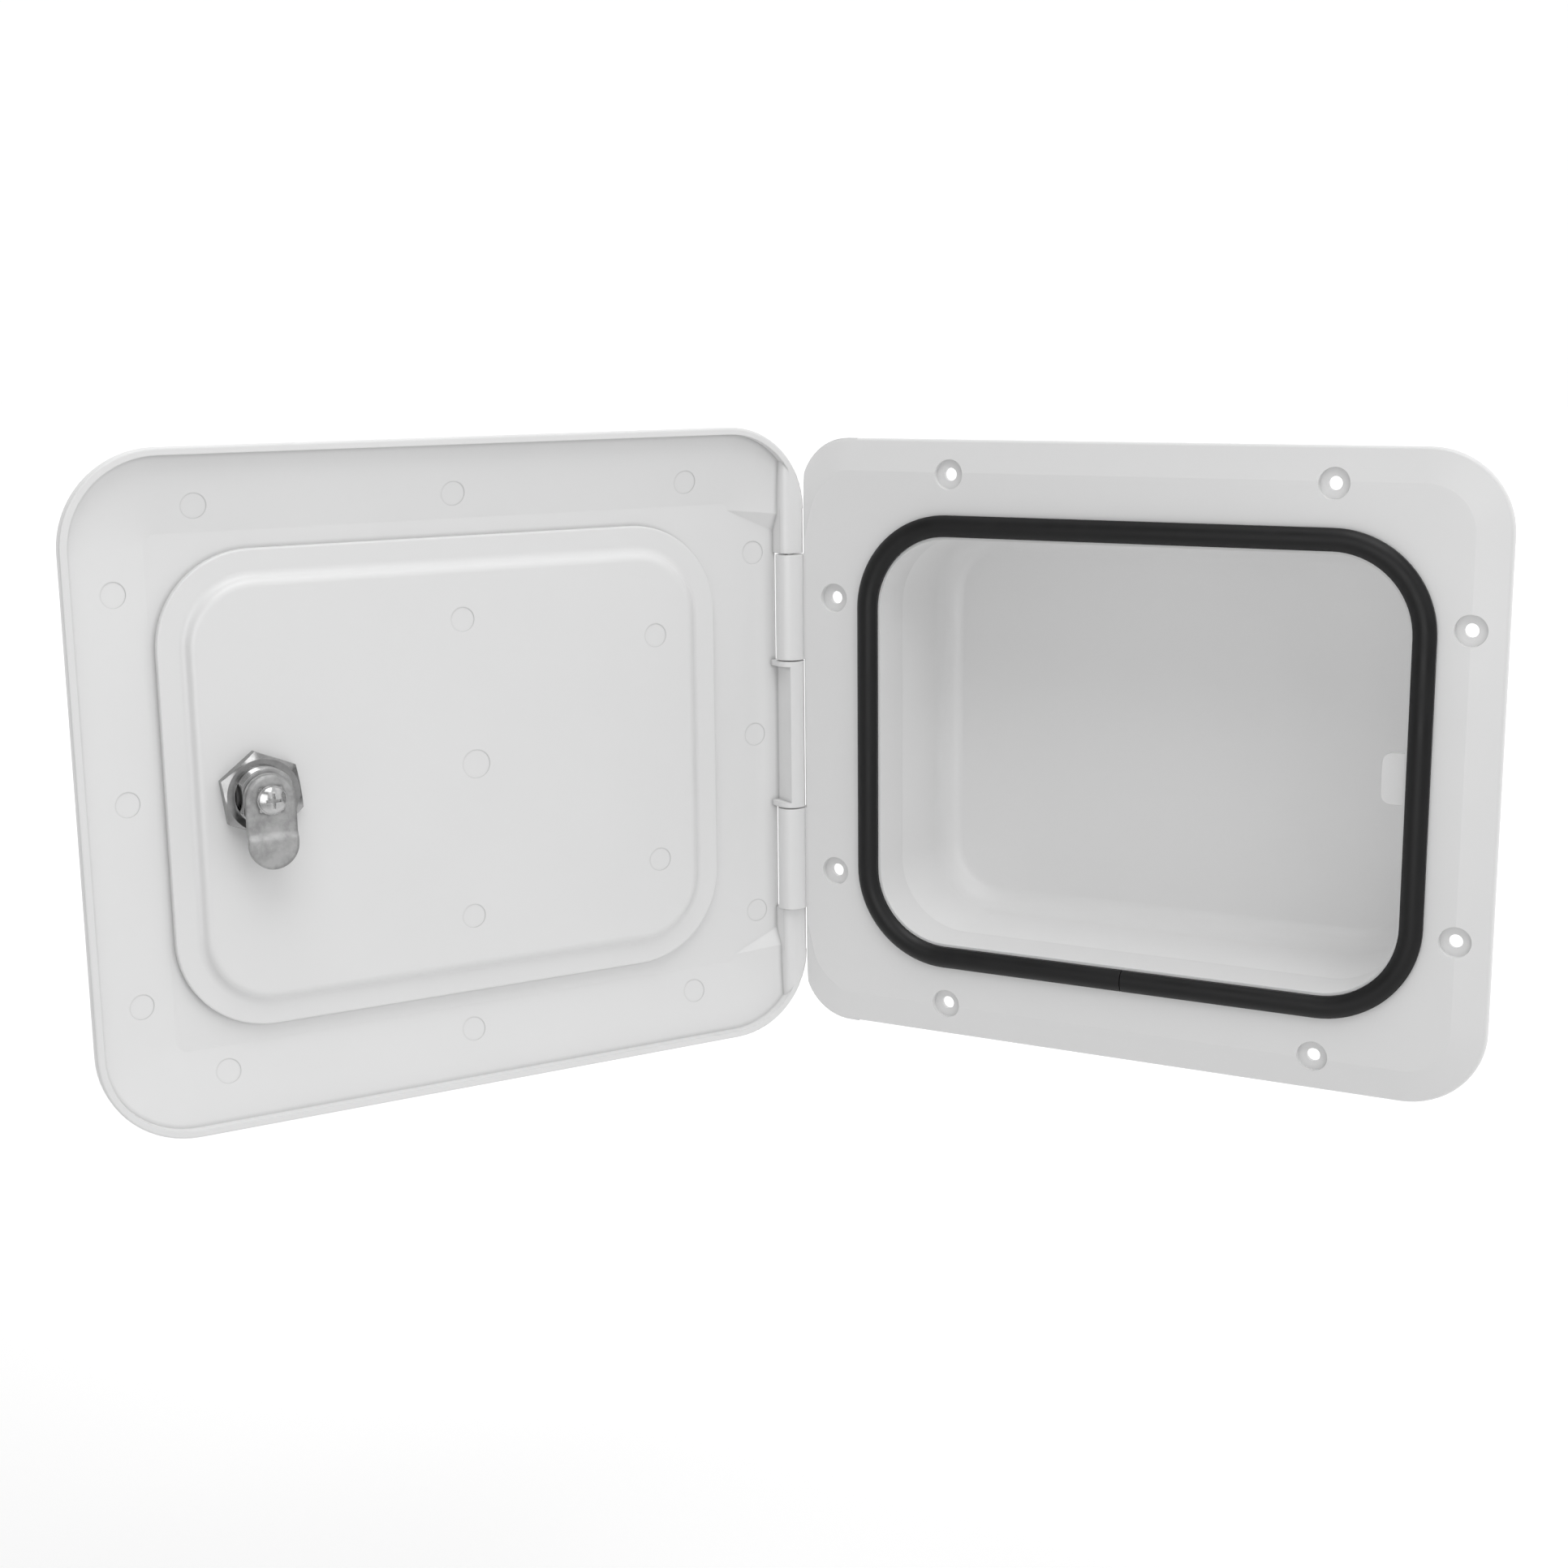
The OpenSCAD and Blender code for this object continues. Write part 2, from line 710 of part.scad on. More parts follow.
module lock_nut() {
    turn = 22.5;
    face_d = 24.2;
    chamfer = 30;
    color(steel) at_lock() translate([0, 0, panel_inner - nut_t]) difference() {
        intersection() {
            rotate([0, 0, turn]) cylinder(h = nut_t, d = nut_af / cos(30), $fn = 6);
            cylinder(h = nut_t, d1 = face_d, d2 = face_d + 2 * nut_t / tan(chamfer));
        }
        translate([0, 0, -over]) cylinder(h = nut_t + 2 * over, d = barrel_d);
    }
}

module lock_plug() {
    top = panel_outer + lock_head_t;
    key_slot = [1.4, 8, 6];
    screw_bore = 8;
    color(steel) at_lock() difference() {
        union() {
            translate([0, 0, cam_top]) cylinder(h = top - cam_top, d = plug_d);
            translate([-drive / 2, -drive / 2, cam_top - cam_t]) cube([drive, drive, cam_t + over]);
        }
        translate([-key_slot[0] / 2, -key_slot[1] / 2, top - key_slot[2]]) cube(key_slot + [0, 0, over]);
        translate([0, 0, cam_top - cam_t - over]) cylinder(h = screw_bore + over, d = screw_d);
    }
}

module cam() {
    r = cam_w / 2;
    bend = 11;
    ramp = 2;
    flat = 0.5;
    tip = cam_reach - r;
    fit = 0.1;
    color(steel) at_lock() translate([0, 0, cam_top - cam_t]) difference() {
        union() {
            linear_extrude(height = cam_t) {
                quarter_disc(r);
                rotate(90) quarter_disc(r);
                translate([-r, -bend]) square([2 * r, bend]);
            }
            translate([-r, 0, cam_t]) rotate([90, 0, 90]) linear_extrude(height = 2 * r)
                polygon([
                    [-bend, 0], [-bend, -cam_t], [-bend - ramp, -cam_crank - cam_t],
                    [-bend - ramp - flat, -cam_crank - cam_t], [-bend - ramp - flat, -cam_crank],
                    [-bend - ramp, -cam_crank]
                ]);
            translate([0, 0, -cam_crank]) linear_extrude(height = cam_t) {
                translate([-r, -tip]) square([2 * r, max(flat, tip - bend - ramp)]);
                translate([0, -tip]) rotate(180) quarter_disc(r);
                translate([0, -tip]) rotate(-90) quarter_disc(r);
            }
        }
        translate([0, 0, -over])
            linear_extrude(height = cam_t + 2 * over) square(drive + fit, center = true);
    }
}

module cam_screw() {
    head_d = 8.8;
    head_h = 2.2;
    dome_r = 7;
    collar_d = 9.8;
    collar_t = 1.2;
    cross = [5, 1, 1.4];
    shank = 8;
    tip = -collar_t - head_h;
    color(steel) at_lock() translate([0, 0, cam_top - cam_t]) difference() {
        union() {
            translate([0, 0, -collar_t]) cylinder(h = collar_t, d = collar_d);
            intersection() {
                translate([0, 0, tip]) cylinder(h = head_h + collar_t / 2, d = head_d);
                translate([0, 0, tip + dome_r]) sphere(dome_r);
            }
            cylinder(h = shank, d = screw_d);
        }
        for (a = [0, 90]) rotate([0, 0, a])
            translate([-cross[0] / 2, -cross[1] / 2, tip - over]) cube(cross + [0, 0, over]);
    }
}

frame();
box();
seal();
hinge_pin();
lid();
lock_body();
lock_nut();
lock_plug();
cam();
cam_screw();
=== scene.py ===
import logging
import math
from dataclasses import dataclass, field
from enum import Enum
from typing import Any, Callable

import bmesh
import bpy
from mathutils import Matrix, Vector


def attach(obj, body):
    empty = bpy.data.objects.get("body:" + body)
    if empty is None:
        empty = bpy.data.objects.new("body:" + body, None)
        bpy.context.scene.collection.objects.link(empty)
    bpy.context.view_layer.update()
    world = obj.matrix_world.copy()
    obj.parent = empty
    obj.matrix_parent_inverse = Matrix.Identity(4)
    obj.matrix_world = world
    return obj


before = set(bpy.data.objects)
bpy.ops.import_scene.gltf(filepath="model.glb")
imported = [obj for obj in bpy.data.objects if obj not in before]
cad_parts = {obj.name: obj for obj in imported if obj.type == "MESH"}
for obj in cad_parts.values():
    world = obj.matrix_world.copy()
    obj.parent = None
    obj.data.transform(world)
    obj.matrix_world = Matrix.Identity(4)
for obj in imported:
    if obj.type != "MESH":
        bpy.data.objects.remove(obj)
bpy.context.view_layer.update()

MM = 0.001
FULL_TURN = 2 * math.pi
WHITE = (1.0, 1.0, 1.0, 1.0)
# A noise texture's values lie mostly between these two
NOISE_RANGE = (0.3, 0.7)
# A Mix node in colour mode has several sockets of one name, so these are known by number
FACTOR, FIRST, SECOND, MIXED = 0, 6, 7, 2
LOG = logging.getLogger("access_door")


class Body(Enum):
    """The bodies that the added pieces ride on."""

    LID = "lid"
    CAM = "cam"


# Shader helpers


def linear(code: str) -> tuple[float, float, float, float]:
    """Turns an sRGB hex colour to the linear colour that shaders take.

    Args:
        code: The colour as six hex digits.

    Returns:
        Red, green, blue and an alpha of 1.
    """
    # The sRGB curve is straight up to its knee, and a power above it
    knee, slope, lift, power = 0.04045, 12.92, 0.055, 2.4
    parts = [int(code[i:i + 2], 16) / 255 for i in (0, 2, 4)]
    red, green, blue = [p / slope if p <= knee else ((p + lift) / (1 + lift)) ** power
                        for p in parts]
    return (red, green, blue, 1.0)


def add_node(tree: bpy.types.NodeTree, kind: str, settings: dict[Any, Any] | None = None,
             links: dict[Any, bpy.types.NodeSocket] | None = None) -> bpy.types.Node:
    """Adds a node to a tree, with its settings and its links.

    Args:
        tree: The node tree.
        kind: The node's type name.
        settings: Values by name, for a property of the node or for one of its inputs. An input
            may also be given by its number.
        links: Sockets to link, by the name or number of this node's input.

    Returns:
        The new node.
    """
    node = tree.nodes.new(kind)
    for name, value in (settings or {}).items():
        if isinstance(name, str) and hasattr(node, name):
            setattr(node, name, value)
        else:
            node.inputs[name].default_value = value
    for name, socket in (links or {}).items():
        tree.links.new(socket, node.inputs[name])
    return node


def new_material(name: str) -> tuple[bpy.types.Material, bpy.types.NodeTree]:
    """Makes an empty material with nodes.

    Args:
        name: The material's name.

    Returns:
        The material and its node tree.
    """
    material = bpy.data.materials.new(name)
    material.use_nodes = True
    material.node_tree.nodes.clear()
    return material, material.node_tree


def close_material(tree: bpy.types.NodeTree, shader: bpy.types.Node) -> None:
    """Links a shader to the material's output.

    Args:
        tree: The node tree.
        shader: The node whose first output is the surface.
    """
    add_node(tree, "ShaderNodeOutputMaterial", links={"Surface": shader.outputs[0]})


# Finishes


@dataclass(frozen=True)
class MouldedAbs:
    """Injection-moulded white ABS: a satin gloss skin with a fine mould grain."""

    name: str
    colour: str = "E8E8E8"
    shade: str = "E4E4E4"
    ior: float = 1.54
    # The skin's roughness, and how much glossier and duller it gets from place to place
    roughness: float = 0.34
    glossier: float = 0.04
    duller: float = 0.05
    # Mould grain: its width, height and strength, drawn coarser than the real one so that it shows
    grain_mm: float = 0.7
    grain_high_mm: float = 0.02
    grain_strength: float = 0.22
    # Slow waves where the plastic flowed: their length, height and strength
    wave_mm: float = 45.0
    wave_high_mm: float = 0.06
    wave_strength: float = 0.25
    # How far the edges are softened, and how wide and strong the painted shade is that darkens the
    # inner corners
    edge_mm: float = 0.35
    painted_shade_mm: float = 1.6
    painted_shade: float = 0.55

    def build(self) -> bpy.types.Material:
        """Builds the material.

        Returns:
            The material.
        """
        material, tree = new_material(self.name)
        place = add_node(tree, "ShaderNodeTexCoord").outputs["Object"]
        waves = add_node(tree, "ShaderNodeTexNoise", {
            "Scale": 1 / (self.wave_mm * MM), "Detail": 2.0, "Roughness": 0.5},
            {"Vector": place})
        grain = add_node(tree, "ShaderNodeTexNoise", {
            "Scale": 1 / (self.grain_mm * MM), "Detail": 3.0, "Roughness": 0.55},
            {"Vector": place})
        tone = add_node(tree, "ShaderNodeMix", {
            "data_type": "RGBA", FIRST: linear(self.colour), SECOND: linear(self.shade)},
            {FACTOR: waves.outputs["Fac"]})
        # Painted shade: ambient occlusion darkens the colour in inner corners and creases, where
        # shadow falls
        corners = add_node(tree, "ShaderNodeAmbientOcclusion", {
            "samples": 4, "only_local": True, "Distance": self.painted_shade_mm * MM},
            {"Color": tone.outputs[MIXED]})
        corner_shaded = add_node(tree, "ShaderNodeMix", {
            "data_type": "RGBA", FACTOR: self.painted_shade},
            {FIRST: tone.outputs[MIXED], SECOND: corners.outputs["Color"]})
        low, high = NOISE_RANGE
        gloss = add_node(tree, "ShaderNodeMapRange", {
            "From Min": low, "From Max": high,
            "To Min": self.roughness - self.glossier, "To Max": self.roughness + self.duller},
            {"Value": waves.outputs["Fac"]})
        edge = add_node(tree, "ShaderNodeBevel", {"samples": 8, "Radius": self.edge_mm * MM})
        wavy = add_node(tree, "ShaderNodeBump", {
            "Strength": self.wave_strength, "Distance": self.wave_high_mm * MM},
            {"Height": waves.outputs["Fac"], "Normal": edge.outputs["Normal"]})
        bump = add_node(tree, "ShaderNodeBump", {
            "Strength": self.grain_strength, "Distance": self.grain_high_mm * MM},
            {"Height": grain.outputs["Fac"], "Normal": wavy.outputs["Normal"]})
        skin = add_node(tree, "ShaderNodeBsdfPrincipled", {
            "IOR": self.ior, "Specular IOR Level": 0.5},
            {"Base Color": corner_shaded.outputs[MIXED], "Roughness": gloss.outputs["Result"],
             "Normal": bump.outputs["Normal"]})
        close_material(tree, skin)
        return material


@dataclass(frozen=True)
class ExtrudedRubber:
    """Black EPDM rubber, extruded: soft broad highlights and a dull bloom."""

    name: str
    colour: str = "0B0B0C"
    bloom: str = "141415"
    ior: float = 1.52
    # The skin's roughness, and how much glossier and duller it gets from place to place
    roughness: float = 0.4
    glossier: float = 0.06
    duller: float = 0.08
    # Width of the patches of bloom
    patch_mm: float = 9.0
    # The skin's pores: their width, height and strength
    pore_mm: float = 0.5
    pore_high_mm: float = 0.03
    pore_strength: float = 0.35

    def build(self) -> bpy.types.Material:
        """Builds the material.

        Returns:
            The material.
        """
        material, tree = new_material(self.name)
        place = add_node(tree, "ShaderNodeTexCoord").outputs["Object"]
        patches = add_node(tree, "ShaderNodeTexNoise", {
            "Scale": 1 / (self.patch_mm * MM), "Detail": 4.0}, {"Vector": place})
        pores = add_node(tree, "ShaderNodeTexNoise", {
            "Scale": 1 / (self.pore_mm * MM), "Detail": 2.0}, {"Vector": place})
        tone = add_node(tree, "ShaderNodeMix", {
            "data_type": "RGBA", FIRST: linear(self.colour), SECOND: linear(self.bloom)},
            {FACTOR: patches.outputs["Fac"]})
        low, high = NOISE_RANGE
        gloss = add_node(tree, "ShaderNodeMapRange", {
            "From Min": low, "From Max": high,
            "To Min": self.roughness - self.glossier, "To Max": self.roughness + self.duller},
            {"Value": patches.outputs["Fac"]})
        bump = add_node(tree, "ShaderNodeBump", {
            "Strength": self.pore_strength, "Distance": self.pore_high_mm * MM},
            {"Height": pores.outputs["Fac"]})
        skin = add_node(tree, "ShaderNodeBsdfPrincipled", {
            "IOR": self.ior, "Specular IOR Level": 0.28},
            {"Base Color": tone.outputs[MIXED], "Roughness": gloss.outputs["Result"],
             "Normal": bump.outputs["Normal"]})
        close_material(tree, skin)
        return material


@dataclass(frozen=True)
class PlatedMetal:
    """Plated metal: bright chrome on a zinc casting, or the greyer zinc plating of steel."""

    name: str
    colour: str
    stain: str
    roughness: float = 0.12
    # The roughness of the cleanest and of the most stained places, as shares of that
    roughness_shares: tuple[float, float] = (0.8, 1.4)
    # Unevenness under the plating: its width, height and strength
    ripple_mm: float = 2.2
    ripple_high_mm: float = 0.05
    ripple: float = 0.1
    # Size of the stains, and the noise's values between which their colour and their gloss fade in
    stain_mm: float = 4.0
    colour_fade: tuple[float, float] = (0.38, 0.66)
    gloss_fade: tuple[float, float] = (0.25, 0.75)
    # How far the edges are softened
    edge_mm: float = 0.25

    def build(self) -> bpy.types.Material:
        """Builds the material.

        Returns:
            The material.
        """
        material, tree = new_material(self.name)
        place = add_node(tree, "ShaderNodeTexCoord").outputs["Object"]
        ripples = add_node(tree, "ShaderNodeTexNoise", {
            "Scale": 1 / (self.ripple_mm * MM), "Detail": 3.0, "Roughness": 0.6},
            {"Vector": place})
        stains = add_node(tree, "ShaderNodeTexNoise", {
            "Scale": 1 / (self.stain_mm * MM), "Detail": 4.0, "Roughness": 0.6},
            {"Vector": place})
        low, high = self.colour_fade
        spread = add_node(tree, "ShaderNodeMapRange", {"From Min": low, "From Max": high},
                          {"Value": stains.outputs["Fac"]})
        tone = add_node(tree, "ShaderNodeMix", {
            "data_type": "RGBA", FIRST: linear(self.colour), SECOND: linear(self.stain)},
            {FACTOR: spread.outputs["Result"]})
        low, high = self.gloss_fade
        clean, dull = self.roughness_shares
        gloss = add_node(tree, "ShaderNodeMapRange", {
            "From Min": low, "From Max": high,
            "To Min": self.roughness * clean, "To Max": self.roughness * dull},
            {"Value": stains.outputs["Fac"]})
        edge = add_node(tree, "ShaderNodeBevel", {"samples": 4, "Radius": self.edge_mm * MM})
        bump = add_node(tree, "ShaderNodeBump", {
            "Strength": self.ripple, "Distance": self.ripple_high_mm * MM},
            {"Height": ripples.outputs["Fac"], "Normal": edge.outputs["Normal"]})
        skin = add_node(tree, "ShaderNodeBsdfPrincipled", {"Metallic": 1.0}, {
            "Base Color": tone.outputs[MIXED], "Roughness": gloss.outputs["Result"],
            "Normal": bump.outputs["Normal"]})
        close_material(tree, skin)
        return material


# Pieces


def dress(node: str, material: bpy.types.Material) -> None:
    """Gives a CAD node its finish.

    Args:
        node: The node's name.
        material: The finish.
    """
    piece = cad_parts[node]
    for slot in piece.material_slots:
        slot.material = material
    LOG.info("%s is dressed in %s", node, material.name)


def shade_smooth(mesh: bpy.types.Mesh, degrees: float = 35.0) -> None:
    """Shades a mesh smooth, with the edges past an angle kept sharp.

    Args:
        mesh: The mesh.
        degrees: The angle.
    """
    mesh.polygons.foreach_set("use_smooth", [True] * len(mesh.polygons))
    mesh.set_sharp_from_angle(angle=math.radians(degrees))


def spin_outline(shell: bmesh.types.BMesh, outline: list[tuple[float, float]], steps: int) -> None:
    """Spins a closed outline a full turn about Z.

    Args:
        shell: The bmesh to fill.
        outline: The corners, each a radius and a height.
        steps: The number of faces round the turn.
    """
    verts = [shell.verts.new((radius, 0.0, height)) for radius, height in outline]
    edges = [shell.edges.new(pair) for pair in zip(verts, verts[1:] + verts[:1])]
    bmesh.ops.spin(shell, geom=verts + edges, cent=(0, 0, 0), axis=(0, 0, 1), angle=FULL_TURN,
                   steps=steps, use_merge=True)


@dataclass
class OpenLid:
    """Turns a place on the closed lid to the rest pose, where the lid stands open."""

    # The hinge pin's place, in millimetres, and the turn from closed to the rest pose
    pin: tuple[float, float] = (-130.8, -5.3)
    degrees: float = -122.0

    def matrix(self) -> Matrix:
        """Returns the turn about the hinge pin, in metres."""
        pin = Vector((self.pin[0] * MM, self.pin[1] * MM, 0.0))
        turn = Matrix.Rotation(math.radians(self.degrees), 4, "Z")
        return Matrix.Translation(pin) @ turn @ Matrix.Translation(-pin)

    def at_lock(self, across: float) -> Matrix:
        """Gives the lock's axis as a matrix whose Z points from the wall to the front.

        Args:
            across: The lock's place across the closed lid, in millimetres.

        Returns:
            The matrix, in metres.
        """
        upright = Matrix.Rotation(math.radians(90.0), 4, "X")
        return self.matrix() @ Matrix.Translation((across * MM, 0.0, 0.0)) @ upright


@dataclass
class PlasticMouldings:
    """The frame, the box behind it and the lid."""

    # Each one's finish; the frame has the least painted corner shade, the lid the softest edges
    frame_skin: MouldedAbs = MouldedAbs("white_abs_moulded", painted_shade=0.15)
    lid_skin: MouldedAbs = MouldedAbs("white_abs_lid", edge_mm=0.6)
    box_skin: MouldedAbs = MouldedAbs("white_abs_box", colour="EEEEEE", shade="EBEBEB",
                                      roughness=0.36)

    def dress(self) -> None:
        """Gives the three mouldings their finish."""
        dress("frame", self.frame_skin.build())
        dress("lid", self.lid_skin.build())
        dress("box", self.box_skin.build())


@dataclass
class RubberSeal:
    """The seal round the opening."""

    skin: ExtrudedRubber = ExtrudedRubber("black_epdm_seal")

    def dress(self) -> None:
        """Gives the seal its finish."""
        dress("seal", self.skin.build())


@dataclass
class HingePin:
    """The steel pin through the knuckles."""

    skin: PlatedMetal = PlatedMetal("drawn_steel_pin", "A9A9A8", "939392", roughness=0.3,
                                    ripple_mm=3.0, ripple=0.15)

    def dress(self) -> None:
        """Gives the pin its finish."""
        dress("hinge_pin", self.skin.build())


@dataclass
class CamLock:
    """The cam lock: what the CAD has, with the thread of its barrel and its stop ring.

    Sizes are in millimetres, and heights are measured in front of the wall.
    """

    # The lock's place across the closed lid, the barrel's radius and its width over the flats
    across: float = 70.6
    barrel_r: float = 9.5
    flats: float = 16.5
    # The heights of the thread's two ends, its pitch and depth
    thread: tuple[float, float] = (0.7, -3.85)
    pitch: float = 0.95
    depth: float = 0.32
    # A ridge of it: how deep it roots in the barrel, where its crest begins and ends and where its
    # far foot lies as shares of the pitch, and how far its feet and its cuts clear the barrel
    root: float = 0.3
    crest: tuple[float, float] = (0.35, 0.5)
    foot: float = 0.85
    clear: float = 0.02
    thread_steps: int = 72
    # The ring's top, its radii inside and outside, its thickness and the softening of its edges
    ring: tuple[float, float, float] = (-4.0, 6.3, 8.4)
    ring_t: float = 1.3
    ring_soft: float = 0.25
    ring_steps: int = 64
    # Points that lie closer than this are one
    weld: float = 1e-4
    placed: OpenLid = field(default_factory=OpenLid)
    # The finishes; the cam's edges are softened widely, so that its crank shows as a bend
    chrome: PlatedMetal = PlatedMetal("chrome_on_zinc_casting", "BEBEBE", "A6A6A6")
    # The nut's chrome is painted darker than the body's: a painted reflection of dark surroundings
    # on its flat face
    nut: PlatedMetal = PlatedMetal("chrome_nut_painted_reflection", "A0A0A0", "929292", roughness=0.16,
                                   ripple_mm=3.0, ripple=0.06)
    zinc: PlatedMetal = PlatedMetal("zinc_plated_steel", "B4B4B4", "9A9A9A", roughness=0.46,
                                    ripple_mm=1.2, ripple=0.25, stain_mm=5.0, edge_mm=2.0)
    screw: PlatedMetal = PlatedMetal("zinc_plated_screw", "C6C6C6", "A8A8A8", roughness=0.16,
                                     ripple_mm=1.5, ripple=0.15)

    def turned(self, name: str, shape: Callable[[bmesh.types.BMesh], None], body: Body,
               material: bpy.types.Material) -> bpy.types.Object:
        """Makes a piece on the lock's axis.

        Args:
            name: The piece's name.
            shape: Fills a bmesh in millimetres, Z along the axis.
            body: The body that it rides on.
            material: Its finish.

        Returns:
            The piece.
        """
        shell = bmesh.new()
        shape(shell)
        bmesh.ops.remove_doubles(shell, verts=shell.verts, dist=self.weld)
        bmesh.ops.scale(shell, vec=(MM, MM, MM), verts=shell.verts)
        bmesh.ops.transform(shell, matrix=self.placed.at_lock(self.across), verts=shell.verts)
        bmesh.ops.recalc_face_normals(shell, faces=shell.faces)
        mesh = bpy.data.meshes.new(name)
        shell.to_mesh(mesh)
        shell.free()
        shade_smooth(mesh)
        piece = bpy.data.objects.new(name, mesh)
        bpy.context.collection.objects.link(piece)
        mesh.materials.append(material)
        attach(piece, body.value)
        LOG.info("%s has %d faces", name, len(mesh.polygons))
        return piece

    def thread_shape(self, shell: bmesh.types.BMesh) -> None:
        """Spins the thread's ridges and cuts them at the barrel's flats.

        Args:
            shell: The bmesh to fill.
        """
        top, bottom = self.thread
        inner, outer = self.barrel_r - self.root, self.barrel_r + self.depth
        skin = self.barrel_r + self.clear
        crest_top, crest_low = (self.pitch * share for share in self.crest)
        foot = self.pitch * self.foot
        for i in range(int((top - bottom) / self.pitch)):
            z = top - i * self.pitch
            spin_outline(shell, [(inner, z), (skin, z), (outer, z - crest_top),
                                 (outer, z - crest_low), (skin, z - foot), (inner, z - foot)],
                         self.thread_steps)
        for side in (1, -1):
            cut = bmesh.ops.bisect_plane(
                shell, geom=shell.verts[:] + shell.edges[:] + shell.faces[:],
                plane_co=(side * (self.flats / 2 + self.clear), 0, 0), plane_no=(side, 0, 0),
                clear_outer=True)
            rims = [e for e in cut["geom_cut"] if isinstance(e, bmesh.types.BMEdge)]
            bmesh.ops.holes_fill(shell, edges=rims, sides=0)

    def ring_shape(self, shell: bmesh.types.BMesh) -> None:
        """Spins the stop ring between the barrel and the cam.

        Args:
            shell: The bmesh to fill.
        """
        top, inner, outer = self.ring
        soft, low = self.ring_soft, top - self.ring_t
        spin_outline(shell, [(inner, top), (outer - soft, top), (outer, top - soft),
                             (outer, low + soft), (outer - soft, low), (inner, low)],
                     self.ring_steps)

    def build(self) -> None:
        """Dresses the lock, and builds the thread and the ring."""
        chrome = self.chrome.build()
        nut = self.nut.build()
        zinc = self.zinc.build()
        dress("lock_body", chrome)
        dress("lock_plug", chrome)
        dress("lock_nut", nut)
        dress("cam", zinc)
        dress("cam_screw", self.screw.build())
        self.turned("barrel_thread", self.thread_shape, Body.LID, chrome)
        self.turned("stop_ring", self.ring_shape, Body.CAM, zinc)


# Studio


@dataclass(frozen=True)
class SoftLight:
    """A square soft light: its place and side in metres, and its power in watts."""

    name: str
    place: tuple[float, float, float]
    side: float
    power: float
    # Off for a card that only shows in reflections
    lights_faces: bool = True

    def hang(self, aim: tuple[float, float, float]) -> None:
        """Hangs the light so that it faces a point.

        Args:
            aim: The point, in metres.
        """
        light = bpy.data.lights.new(self.name, "AREA")
        light.shape = "SQUARE"
        light.size = self.side
        light.energy = self.power
        piece = bpy.data.objects.new(self.name, light)
        facing = (Vector(self.place) - Vector(aim)).to_track_quat("Z", "Y")
        piece.matrix_world = Matrix.Translation(self.place) @ facing.to_matrix().to_4x4()
        piece.visible_diffuse = self.lights_faces
        bpy.context.collection.objects.link(piece)


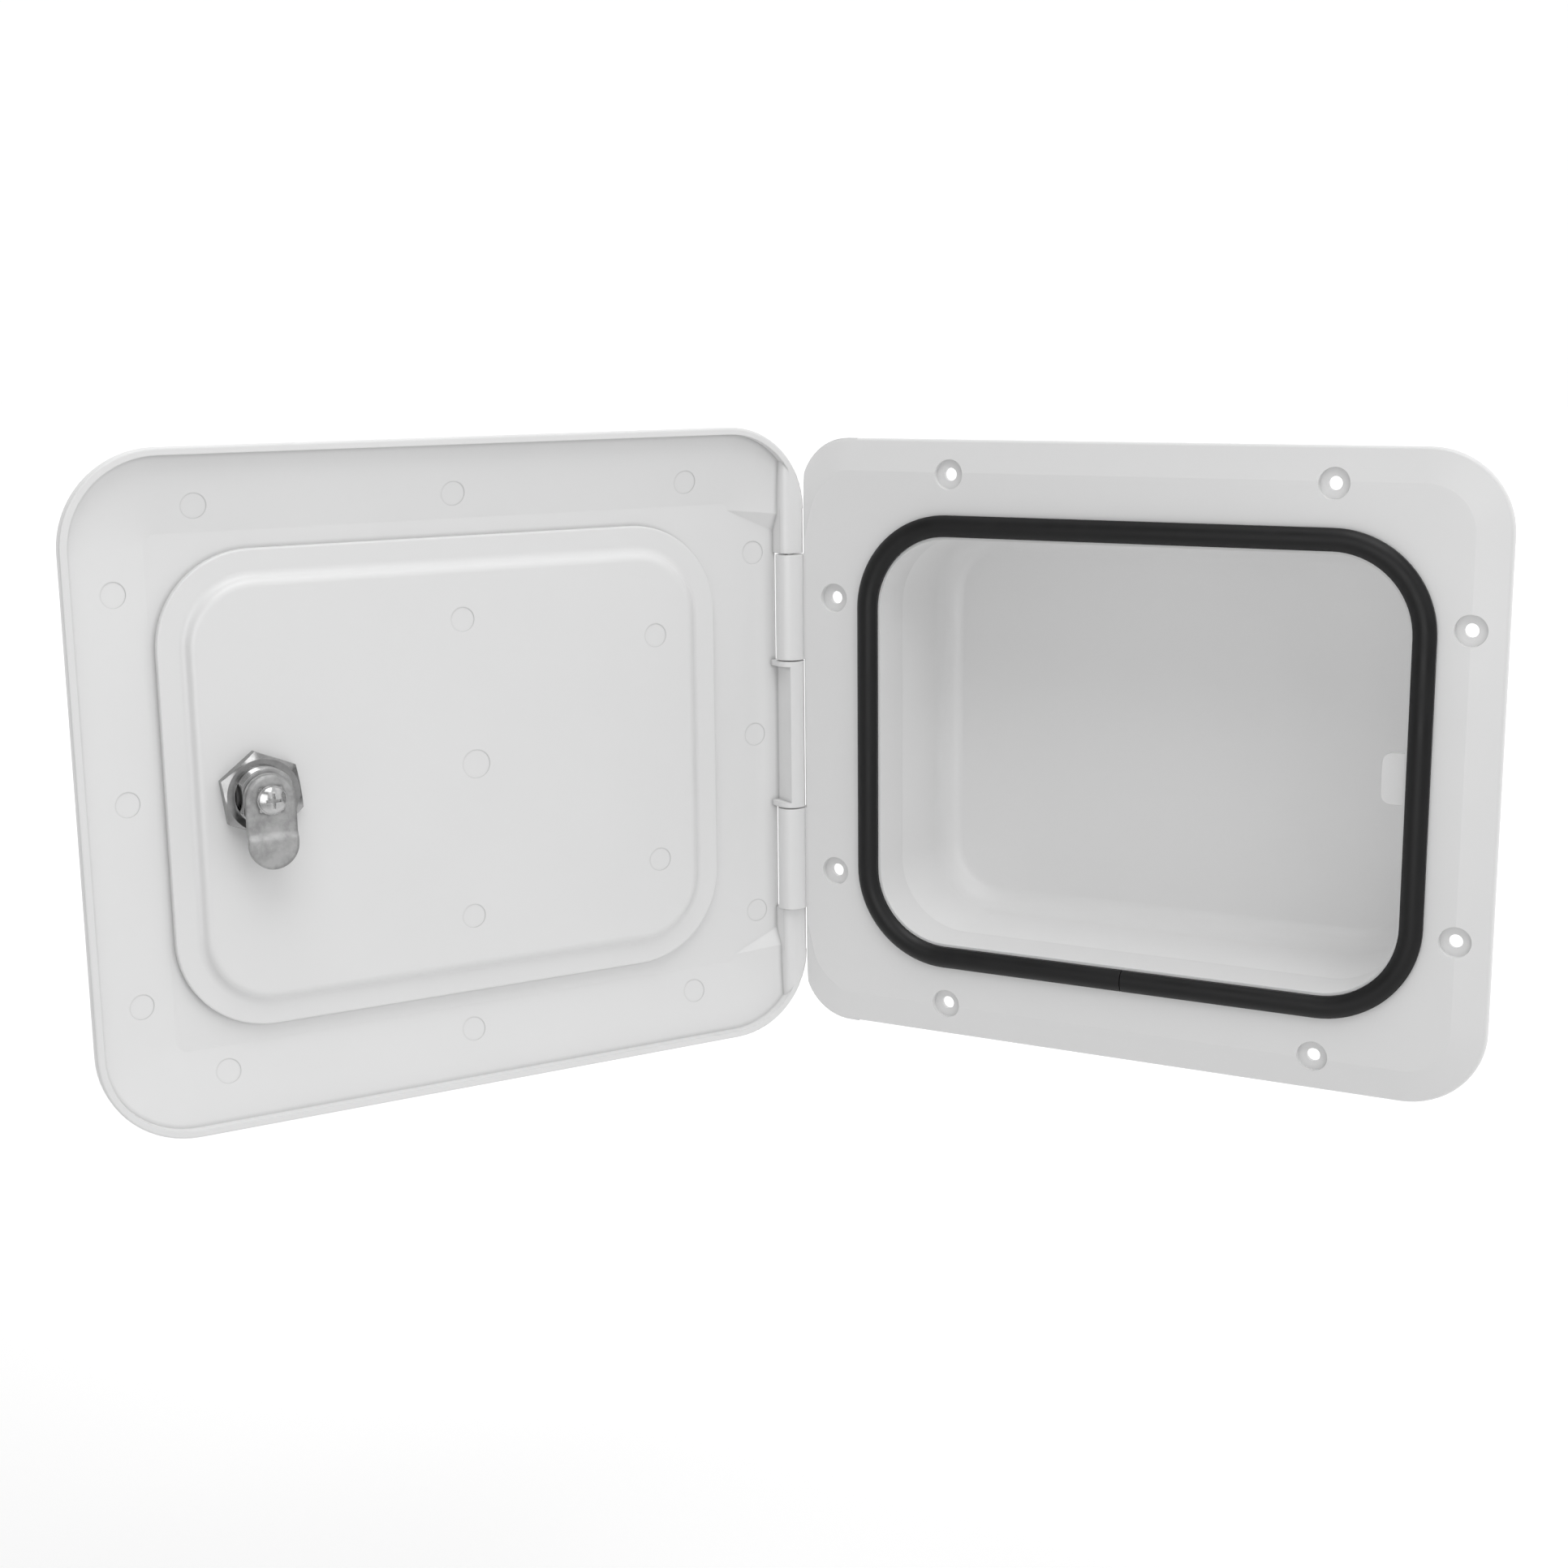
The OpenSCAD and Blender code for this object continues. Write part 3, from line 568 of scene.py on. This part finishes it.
@dataclass
class Studio:
    """A plain pale floor well below the door, pale surroundings and soft lights.

    Places and sizes are in metres. The door's front looks to -Y, where the camera stands.
    """

    # The floor's height and side, and its paint, which pales along Y from the front to the back
    floor_z: float = -0.42
    floor_side: float = 30.0
    front_paint: str = "D2D2D2"
    back_paint: str = "DBDBDB"
    paint_from: float = -0.6
    paint_to: float = 0.1
    # The floor's own glow, which grows along Y, as a light table's does, until it turns white
    glow_from: float = -0.9
    glow_to: float = 1.2
    floor_glow: float = 0.68
    # Glow of the surroundings behind the door and before it, and how far a way has to point to the
    # back or to the front for each, along Y and from -1 to 1
    behind: float = 1.01
    before: float = 0.43
    behind_at: float = 0.25
    before_at: float = -0.4
    # The lights, the last of them a card beside the camera for the lock's metal, and their aim
    lights: tuple[SoftLight, ...] = (
        SoftLight("soft_right", (1.9, -1.1, 0.9), 1.6, 6.0),
        SoftLight("soft_top", (0.4, -0.82, 1.8), 1.4, 17.0),
        SoftLight("card_front", (0.1, -1.1, 0.12), 0.8, 3.4, lights_faces=False),
    )
    aim: tuple[float, float, float] = (-0.05, -0.05, 0.0)

    def floor_paint(self) -> bpy.types.Material:
        """Builds the floor's matt paint.

        Returns:
            The material.
        """
        material, tree = new_material("pale_floor_paint")
        place = add_node(tree, "ShaderNodeTexCoord").outputs["Object"]
        part = add_node(tree, "ShaderNodeSeparateXYZ", links={"Vector": place})
        back = add_node(tree, "ShaderNodeMapRange", {
            "From Min": self.paint_from, "From Max": self.paint_to},
            {"Value": part.outputs["Y"]})
        tone = add_node(tree, "ShaderNodeMix", {
            "data_type": "RGBA", FIRST: linear(self.front_paint), SECOND: linear(self.back_paint)},
            {FACTOR: back.outputs["Result"]})
        glow = add_node(tree, "ShaderNodeMapRange", {
            "From Min": self.glow_from, "From Max": self.glow_to,
            "To Min": 0.0, "To Max": self.floor_glow}, {"Value": part.outputs["Y"]})
        close_material(tree, add_node(tree, "ShaderNodeBsdfPrincipled", {
            "Roughness": 0.9, "Specular IOR Level": 0.1, "Emission Color": WHITE},
            {"Base Color": tone.outputs[MIXED], "Emission Strength": glow.outputs["Result"]}))
        return material

    def floor(self) -> None:
        """Lays the floor."""
        shell = bmesh.new()
        bmesh.ops.create_grid(shell, x_segments=1, y_segments=1, size=self.floor_side / 2)
        bmesh.ops.translate(shell, vec=(0, 0, self.floor_z), verts=shell.verts)
        mesh = bpy.data.meshes.new("floor")
        shell.to_mesh(mesh)
        shell.free()
        mesh.materials.append(self.floor_paint())
        piece = bpy.data.objects.new("floor", mesh)
        bpy.context.collection.objects.link(piece)

    def sky(self) -> None:
        """Makes the white surroundings, bright behind the door and dim on the camera's side."""
        world = bpy.data.worlds.new("studio")
        world.use_nodes = True
        tree = world.node_tree
        tree.nodes.clear()
        way = add_node(tree, "ShaderNodeTexCoord").outputs["Generated"]
        part = add_node(tree, "ShaderNodeSeparateXYZ", links={"Vector": way})
        strength = add_node(tree, "ShaderNodeMapRange", {
            "From Min": self.behind_at, "From Max": self.before_at,
            "To Min": self.behind, "To Max": self.before}, {"Value": part.outputs["Y"]})
        glow = add_node(tree, "ShaderNodeBackground", {"Color": WHITE}, {
            "Strength": strength.outputs["Result"]})
        add_node(tree, "ShaderNodeOutputWorld", links={"Surface": glow.outputs[0]})
        bpy.context.scene.world = world

    def build(self) -> None:
        """Sets up the floor, the surroundings and the lights."""
        self.floor()
        self.sky()
        for light in self.lights:
            light.hang(self.aim)
        bpy.context.scene.view_settings.view_transform = "Standard"
        LOG.info("studio is ready")


@dataclass
class PhotoCamera:
    """The camera, where it stood for the photograph: a square frame of 1932 pixels."""

    # Its place in millimetres, and its turns in radians
    place: tuple[float, float, float] = (252.6, -722.9, 147.1)
    turn: float = 0.4941
    pitch: float = -0.2017
    roll: float = 0.0105
    # The focal length and the frame's side in pixels, the sensor's side in millimetres
    focal_px: float = 2734.3
    frame_px: float = 1932.0
    sensor: float = 36.0
    # How far it sees, in metres
    reach: float = 60.0

    def build(self) -> None:
        """Makes the camera the scene's own."""
        lens = bpy.data.cameras.new("photo_camera")
        lens.sensor_fit = "HORIZONTAL"
        lens.sensor_width = self.sensor
        lens.lens = self.focal_px / self.frame_px * self.sensor
        lens.clip_end = self.reach
        camera = bpy.data.objects.new("photo_camera", lens)
        look = (Matrix.Rotation(self.turn, 4, "Z") @ Matrix.Rotation(self.pitch, 4, "X")
                @ Matrix.Rotation(self.roll, 4, "Y") @ Matrix.Rotation(math.radians(90.0), 4, "X"))
        camera.matrix_world = Matrix.Translation(Vector(self.place) * MM) @ look
        bpy.context.collection.objects.link(camera)
        bpy.context.scene.camera = camera


def main() -> None:
    """Builds the pieces in order."""
    logging.basicConfig(level=logging.INFO, format="%(message)s")
    PhotoCamera().build()
    PlasticMouldings().dress()
    RubberSeal().dress()
    HingePin().dress()
    CamLock().build()
    Studio().build()


if __name__ == "__main__":
    main()
